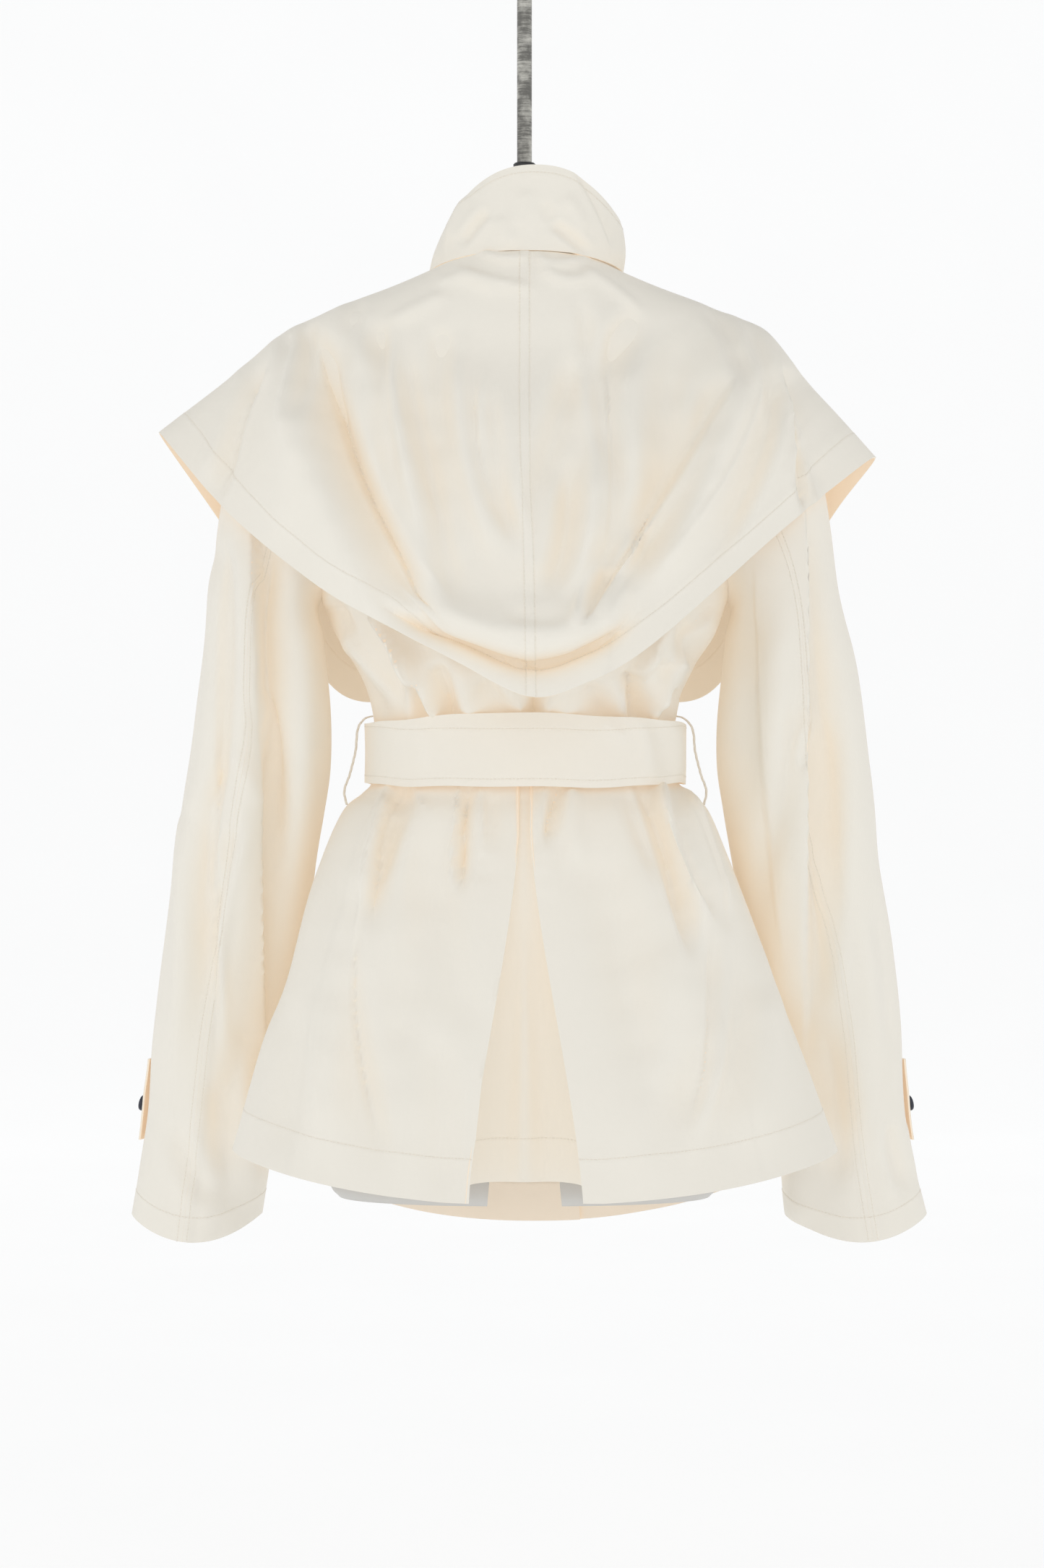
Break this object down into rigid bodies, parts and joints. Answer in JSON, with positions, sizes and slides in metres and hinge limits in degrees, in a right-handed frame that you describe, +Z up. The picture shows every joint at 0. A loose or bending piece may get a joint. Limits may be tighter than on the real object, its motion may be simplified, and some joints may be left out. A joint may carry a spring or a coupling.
{
  "type": "cape jacket on a dress form",
  "caption": "Belted jacket with a large shoulder cape, stand collar, tabbed sleeves and a pleated peplum, on a hanging dress form.",
  "frame": {"origin": "top end of the steel rod that the form hangs on, on the rod's axis", "axes": "+Z up along the rod, -Y towards the wearer's front, +X towards the wearer's left"},
  "size_m": [0.671, 0.3617, 1.0414],
  "materials": {
    "cloth": "matt plain weave",
    "form": "matt",
    "rod": "worn",
    "cap": "matt",
    "button": "satin"
  },
  "bodies": {
    "root": {"rod": "rod", "neck_cap": "cap", "form": "form", "bodice_back": "cloth", "bodice_front_left": "cloth", "bodice_front_right": "cloth", "skirt_back": "cloth", "skirt_front_left": "cloth", "skirt_front_right": "cloth", "sleeve_left_outer": "cloth", "sleeve_left_under": "cloth", "sleeve_right_outer": "cloth", "sleeve_right_under": "cloth", "collar": "cloth", "cape_back": "cloth", "cape_front_left": "cloth", "cape_front_right": "cloth", "belt": "cloth", "belt_loop_left": "cloth", "belt_loop_right": "cloth", "sleeve_tab_left": "cloth", "sleeve_tab_right": "cloth", "button_left": "button", "button_right": "button"}
  },
  "joints": []
}
